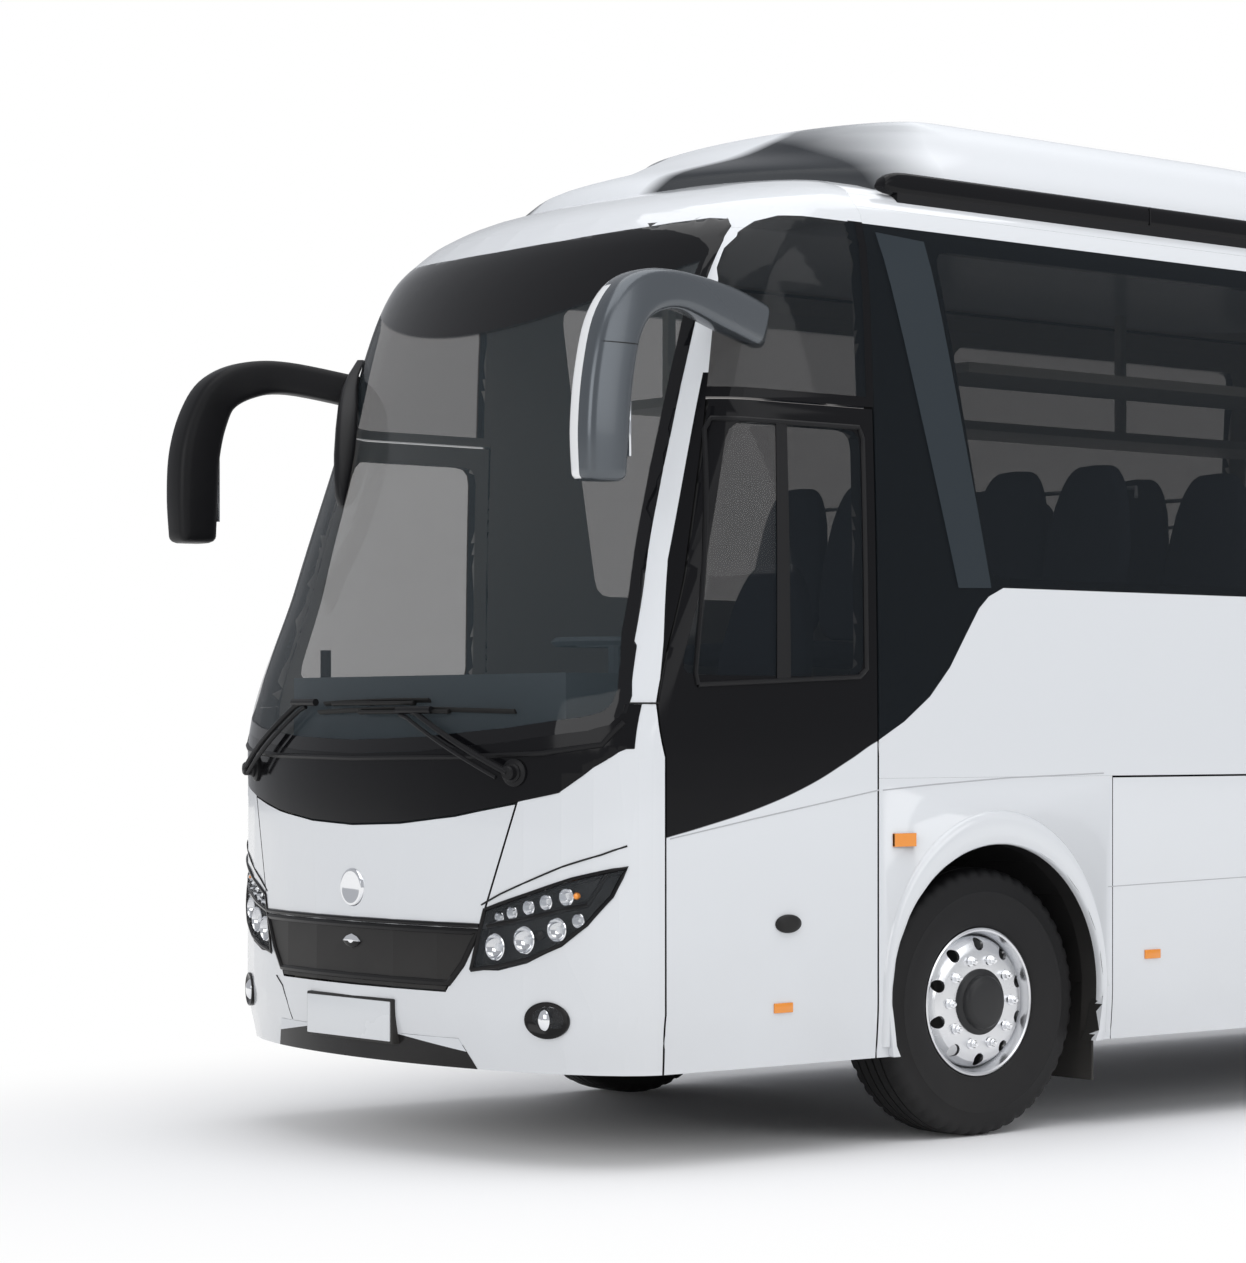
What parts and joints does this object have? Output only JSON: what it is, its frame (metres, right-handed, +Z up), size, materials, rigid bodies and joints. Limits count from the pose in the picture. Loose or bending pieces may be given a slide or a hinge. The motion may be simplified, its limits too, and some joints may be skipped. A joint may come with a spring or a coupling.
{
  "type": "coach bus",
  "caption": "Long-distance coach with a curved windscreen, roof fairing, luggage bay, opening doors and flaps, steered front wheels and twin rear wheels.",
  "frame": {"origin": "on the ground, in the middle of the length and width", "axes": "+X to the bus's left, -Y to the nose, +Z up"},
  "size_m": [2.8694, 11.4035, 4.007],
  "materials": {
    "white_paint": "gloss",
    "black_trim": "gloss",
    "tinted_glass": "tinted",
    "clear_lens": "clear",
    "red_lens": "gloss",
    "amber_lens": "gloss",
    "lamp_black": "gloss",
    "dark_paint": "satin",
    "rail_black": "anodised",
    "mirror_shell": "satin",
    "wiper_black": "matte",
    "floor_cover": "matte",
    "engine_paint": "painted",
    "axle_iron": "painted",
    "wheel_alloy": "polished",
    "tyre_rubber": "matte",
    "soft_rubber": "matte",
    "seat_cloth": "woven",
    "seat_metal": "satin",
    "dash_plastic": "grained",
    "rack_plastic": "satin"
  },
  "bodies": {
    "coach_body": {"front_fascia": "white_paint", "front_trim": "black_trim", "windscreen": "tinted_glass", "cab_frame": "white_paint", "side_walls": "white_paint", "window_glass": "tinted_glass", "rear_panel": "white_paint", "tail_lamps": "red_lens", "roof_shell": "white_paint", "roof_dome": "white_paint", "roof_rails": "rail_black", "skirt_panels": "white_paint", "wheel_liners": "lamp_black", "lamp_housings": "lamp_black", "lamp_lenses": "clear_lens", "mirrors": "mirror_shell", "wipers": "wiper_black", "chassis_frame": "dark_paint", "cabin_floor": "floor_cover", "engine": "engine_paint", "front_axle": "axle_iron", "rear_axle": "axle_iron", "air_springs": "soft_rubber", "mud_flaps": "soft_rubber", "seat_cushions": "seat_cloth", "seat_backs": "seat_cloth", "seat_stands": "seat_metal", "dashboard": "dash_plastic", "steering_wheel": "dash_plastic", "luggage_racks": "rack_plastic", "side_markers": "amber_lens"},
    "left_knuckle": {"left_knuckle": "axle_iron"},
    "right_knuckle": {"right_knuckle": "axle_iron"},
    "tie_rod": {"tie_rod": "dark_paint"},
    "front_left_wheel": {"front_left_wheel": "wheel_alloy", "front_left_tyre": "tyre_rubber"},
    "front_right_wheel": {"front_right_wheel": "wheel_alloy", "front_right_tyre": "tyre_rubber"},
    "rear_left_wheels": {"rear_left_wheels": "wheel_alloy", "rear_left_tyres": "tyre_rubber"},
    "rear_right_wheels": {"rear_right_wheels": "wheel_alloy", "rear_right_tyres": "tyre_rubber"},
    "driver_door": {"driver_door": "white_paint", "driver_door_glass": "tinted_glass"},
    "entrance_arm": {"entrance_arm": "seat_metal"},
    "entrance_door": {"entrance_door": "white_paint", "entrance_door_glass": "tinted_glass"},
    "left_luggage_door_1": {"left_luggage_door_1": "white_paint"},
    "left_luggage_door_2": {"left_luggage_door_2": "white_paint"},
    "right_luggage_door_1": {"right_luggage_door_1": "white_paint"},
    "right_luggage_door_2": {"right_luggage_door_2": "white_paint"},
    "engine_hatch": {"engine_hatch": "white_paint"},
    "front_flap": {"front_lid": "white_paint", "front_grille": "black_trim"}
  },
  "joints": [
    {"name": "steer_left", "type": "hinge", "parent": "coach_body", "child": "left_knuckle", "pos_m": [0.96, -3.543, 0.52], "axis": [0, 0, 1], "range_deg": [-40, 40]},
    {"name": "steer_right", "type": "hinge", "parent": "coach_body", "child": "right_knuckle", "pos_m": [-0.96, -3.543, 0.52], "axis": [0, 0, 1], "range_deg": [-40, 40]},
    {"name": "tie_rod_turn", "type": "hinge", "parent": "left_knuckle", "child": "tie_rod", "pos_m": [0.96, -3.393, 0.4], "axis": [0, 0, 1], "range_deg": [-40, 40]},
    {"name": "front_left_spin", "type": "hinge", "parent": "left_knuckle", "child": "front_left_wheel", "pos_m": [1.03, -3.543, 0.52], "axis": [1, 0, 0], "continuous": true},
    {"name": "front_right_spin", "type": "hinge", "parent": "right_knuckle", "child": "front_right_wheel", "pos_m": [-1.03, -3.543, 0.52], "axis": [1, 0, 0], "continuous": true},
    {"name": "rear_left_spin", "type": "hinge", "parent": "coach_body", "child": "rear_left_wheels", "pos_m": [0.9, 2.207, 0.52], "axis": [1, 0, 0], "continuous": true},
    {"name": "rear_right_spin", "type": "hinge", "parent": "coach_body", "child": "rear_right_wheels", "pos_m": [-0.9, 2.207, 0.52], "axis": [1, 0, 0], "continuous": true},
    {"name": "driver_door_hinge", "type": "hinge", "parent": "coach_body", "child": "driver_door", "pos_m": [1.256, -5.209, 1.2], "axis": [0, 0, -1], "range_deg": [0, 75]},
    {"name": "entrance_arm_swing", "type": "hinge", "parent": "coach_body", "child": "entrance_arm", "pos_m": [-1.15, -5.033, 1.2], "axis": [0, 0, 1], "range_deg": [0, 140]},
    {"name": "entrance_door_turn", "type": "hinge", "parent": "entrance_arm", "child": "entrance_door", "pos_m": [-1.15, -4.513, 1.2], "axis": [0, 0, 1], "range_deg": [-140, 0]},
    {"name": "left_luggage_hinge_1", "type": "hinge", "parent": "coach_body", "child": "left_luggage_door_1", "pos_m": [1.256, -1.787, 1.388], "axis": [0, -1, 0], "range_deg": [0, 95]},
    {"name": "right_luggage_hinge_1", "type": "hinge", "parent": "coach_body", "child": "right_luggage_door_1", "pos_m": [-1.256, -1.787, 1.388], "axis": [0, 1, 0], "range_deg": [0, 95]},
    {"name": "left_luggage_hinge_2", "type": "hinge", "parent": "coach_body", "child": "left_luggage_door_2", "pos_m": [1.256, 0.449, 1.388], "axis": [0, -1, 0], "range_deg": [0, 95]},
    {"name": "right_luggage_hinge_2", "type": "hinge", "parent": "coach_body", "child": "right_luggage_door_2", "pos_m": [-1.256, 0.449, 1.388], "axis": [0, 1, 0], "range_deg": [0, 95]},
    {"name": "engine_hatch_hinge", "type": "hinge", "parent": "coach_body", "child": "engine_hatch", "pos_m": [0, 5.706, 1.636], "axis": [1, 0, 0], "range_deg": [0, 80]},
    {"name": "front_flap_hinge", "type": "hinge", "parent": "coach_body", "child": "front_flap", "pos_m": [0, -5.652, 1.5], "axis": [-1, 0, 0], "range_deg": [0, 70]}
  ],
  "couplings": [
    {"joint": "steer_right", "follows": "steer_left", "ratio": 1},
    {"joint": "tie_rod_turn", "follows": "steer_left", "ratio": -1},
    {"joint": "entrance_door_turn", "follows": "entrance_arm_swing", "ratio": -1}
  ]
}
